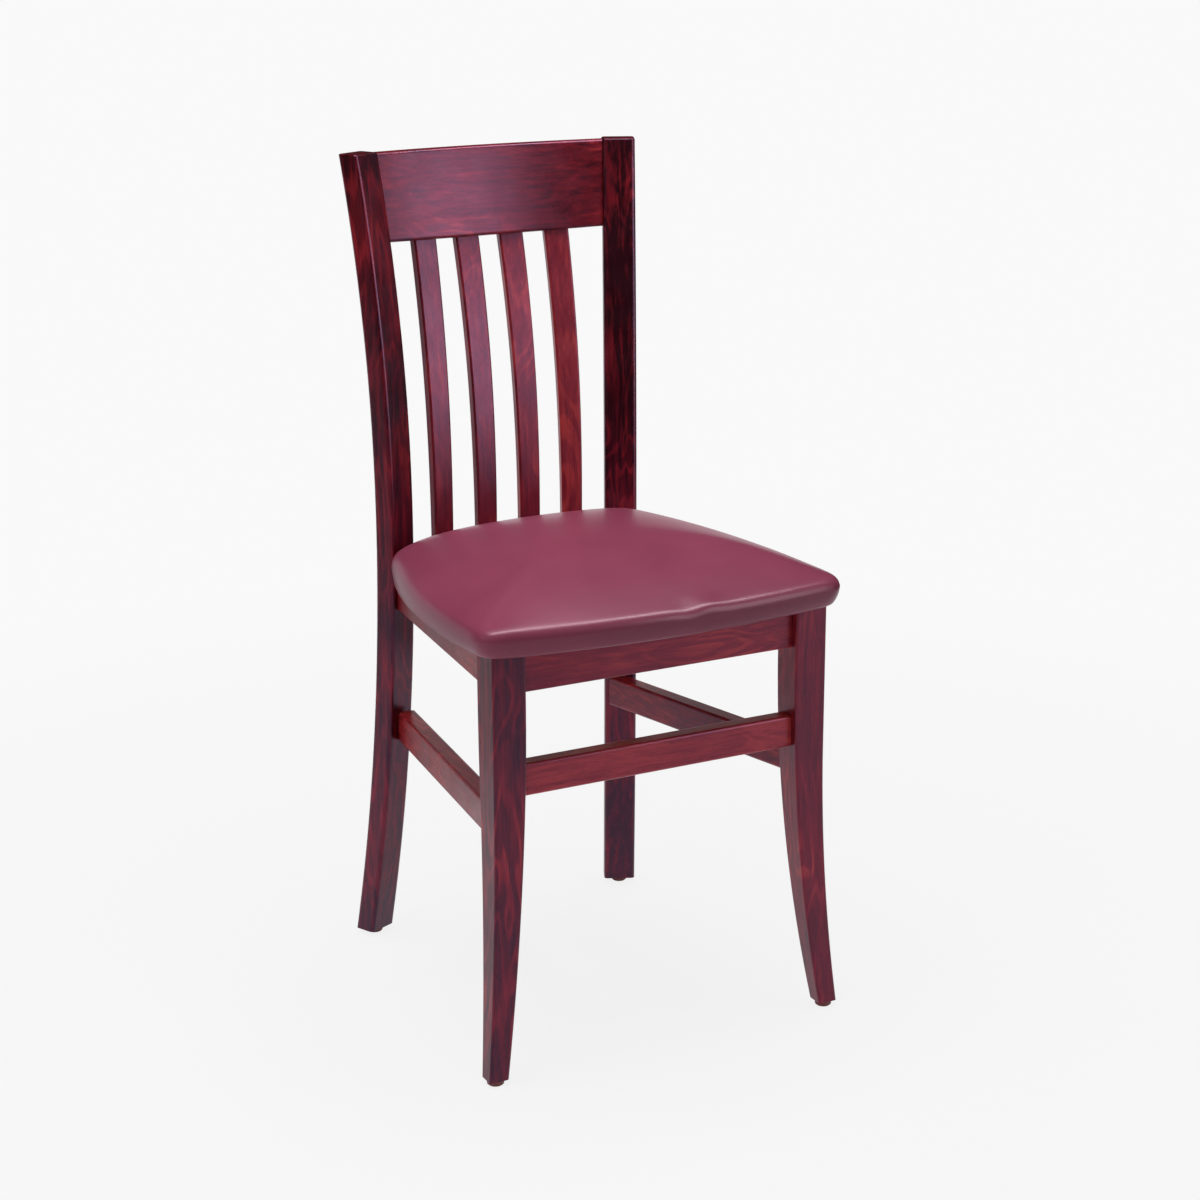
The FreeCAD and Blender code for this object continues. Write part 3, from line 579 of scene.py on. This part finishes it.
cushion = cushion_start()
swell(cushion)
pucker(cushion)
open_underside(cushion)
skin = cushion.modifiers.new("skin", "SOLIDIFY")
skin.thickness = vinyl_thickness
skin.offset = -1.0
smooth = cushion.modifiers.new("smooth", "SUBSURF")
smooth.levels = 1
smooth.render_levels = 1
cushion.data.materials.append(vinyl())
for face in cushion.data.polygons:
    face.use_smooth = True
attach(cushion, "root")
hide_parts("seat_cover", "seat_foam")


# Floor, world, lamps and camera
def seen_directly(tree):
    """1 for rays from the camera or off and through glossy things, 0 for light that fills the scene."""
    path = tree.nodes.new("ShaderNodeLightPath")
    total = path.outputs["Is Camera Ray"]
    for name in ("Is Glossy Ray", "Is Transmission Ray"):
        either = tree.nodes.new("ShaderNodeMath")
        either.operation = "MAXIMUM"
        tree.links.new(total, either.inputs[0])
        tree.links.new(path.outputs[name], either.inputs[1])
        total = either.outputs[0]
    return total


def floor():
    """Pale floor that is white to the eye, keeps a soft shadow, and fades into the background."""
    builder = bmesh.new()
    bmesh.ops.create_grid(builder, x_segments=2, y_segments=2, size=floor_half)
    made = link("floor", builder)
    material = bpy.data.materials.new("pale_floor")
    material.use_nodes = True
    tree = material.node_tree
    tree.nodes.remove(tree.nodes["Principled BSDF"])
    paint = tree.nodes.new("ShaderNodeBsdfDiffuse")
    paint.inputs["Color"].default_value = floor_paint
    glow = tree.nodes.new("ShaderNodeEmission")
    glow.inputs["Color"].default_value = background_white
    coordinates = tree.nodes.new("ShaderNodeTexCoord")
    away = tree.nodes.new("ShaderNodeVectorMath")
    away.operation = "LENGTH"
    tree.links.new(coordinates.outputs["Object"], away.inputs[0])
    fade = tree.nodes.new("ShaderNodeMapRange")
    fade.interpolation_type = "SMOOTHSTEP"
    fade.inputs["From Min"].default_value = floor_fade_start
    fade.inputs["From Max"].default_value = floor_fade_end
    fade.inputs["To Min"].default_value = floor_white_near
    fade.inputs["To Max"].default_value = floor_white_far
    tree.links.new(away.outputs["Value"], fade.inputs["Value"])
    share = tree.nodes.new("ShaderNodeMath")
    share.operation = "MULTIPLY"
    tree.links.new(seen_directly(tree), share.inputs[0])
    tree.links.new(fade.outputs["Result"], share.inputs[1])
    mix = tree.nodes.new("ShaderNodeMixShader")
    tree.links.new(share.outputs[0], mix.inputs["Fac"])
    tree.links.new(paint.outputs[0], mix.inputs[1])
    tree.links.new(glow.outputs[0], mix.inputs[2])
    tree.links.new(mix.outputs[0], tree.nodes["Material Output"].inputs["Surface"])
    made.data.materials.append(material)


def studio_world():
    """White surroundings to the eye and in reflections, an even fill for the rest."""
    world = bpy.data.worlds.new("studio")
    bpy.context.scene.world = world
    world.use_nodes = True
    tree = world.node_tree
    mix = tree.nodes.new("ShaderNodeMix")
    mix.data_type = "RGBA"
    tree.links.new(seen_directly(tree), mix.inputs["Factor"])
    mix.inputs[6].default_value = fill_tone
    mix.inputs[7].default_value = background_white
    tree.links.new(mix.outputs[2], tree.nodes["Background"].inputs["Color"])


def softbox(name, place, aim, width, height, power):
    """Large soft lamp that faces a point."""
    lamp = bpy.data.lights.new(name, "AREA")
    lamp.shape = "RECTANGLE"
    lamp.size = width
    lamp.size_y = height
    lamp.energy = power
    made = bpy.data.objects.new(name, lamp)
    bpy.context.scene.collection.objects.link(made)
    made.location = place
    made.rotation_euler = (Vector(aim) - Vector(place)).to_track_quat("-Z", "Y").to_euler()
    return made


def card(name, start, end, base, top, tone):
    """Upright card between two plan points, which shows only in glossy faces."""
    builder = bmesh.new()
    foot = [builder.verts.new((x, y, base)) for x, y in (start, end)]
    line = builder.edges.new(foot)
    raised = bmesh.ops.extrude_edge_only(builder, edges=[line])["geom"]
    head = [item for item in raised if isinstance(item, bmesh.types.BMVert)]
    bmesh.ops.translate(builder, vec=(0.0, 0.0, top - base), verts=head)
    made = link(name, builder)
    made.visible_camera = False
    made.visible_shadow = False
    made.visible_diffuse = False
    material = bpy.data.materials.new(name)
    material.use_nodes = True
    shader = material.node_tree.nodes["Principled BSDF"]
    shader.inputs["Base Color"].default_value = (tone, tone, tone, 1.0)
    shader.inputs["Roughness"].default_value = card_roughness
    made.data.materials.append(material)


floor()
studio_world()

# The top lamp lights the chair, the rim and low lamps show only as sheen, the last one fills the left
top_lamp = softbox("top_softbox", place=(-0.05, 0.0, 2.6), aim=(-0.05, 0.0, 0.4),
                   width=2.5, height=1.6, power=56.0)
top_lamp.visible_glossy = False
rim_lamp = softbox("rim_softbox", place=(0.25, -0.35, 2.4), aim=(0.25, -0.34, 0.45),
                   width=2.7, height=0.5, power=72.0)
rim_lamp.visible_diffuse = False
low_lamp = softbox("low_softbox", place=(1.05, -1.40, 0.88), aim=(0.0, 0.0, 0.76),
                   width=1.00, height=0.95, power=11.5)
low_lamp.visible_diffuse = False
softbox("fill_softbox", place=(-2.4, -0.6, 1.5), aim=(0.0, 0.0, 0.45), width=1.4, height=1.6, power=12.0)

# Dark cards make a square around the chair, open at the right front where the low softbox stands.
# The pale card, behind at the left, shows as grey in the outer faces of the left legs and rails.
front_left = (-set_half, -set_half)
rear_left = (-set_half, set_half)
rear_right = (set_half, set_half)
card("front_card", front_left, (front_card_end, -set_half), card_foot, card_top, card_black)
card("left_card", front_left, rear_left, card_foot, card_top, card_black)
card("right_card", (set_half, right_card_start), rear_right, card_foot, card_top, card_black)
card("back_card", rear_left, rear_right, back_card_foot, card_top, card_black)
card("grey_card", (-set_half, grey_card_y), (grey_card_end, grey_card_y),
     card_foot, grey_card_top, grey_card_tone)

camera_data = bpy.data.cameras.new("camera")
camera_data.lens = camera_lens
camera_data.sensor_width = camera_sensor
camera = bpy.data.objects.new("camera", camera_data)
bpy.context.scene.collection.objects.link(camera)
heading = Matrix.Rotation(math.radians(-camera_azimuth), 4, "Z")
pitch = Matrix.Rotation(math.radians(90.0 - camera_elevation), 4, "X")
roll = Matrix.Rotation(math.radians(camera_roll), 4, "Z")
camera.matrix_world = Matrix.Translation(camera_place) @ heading @ pitch @ roll
bpy.context.scene.camera = camera
bpy.context.scene.view_settings.view_transform = "Standard"

bpy.context.view_layer.update()
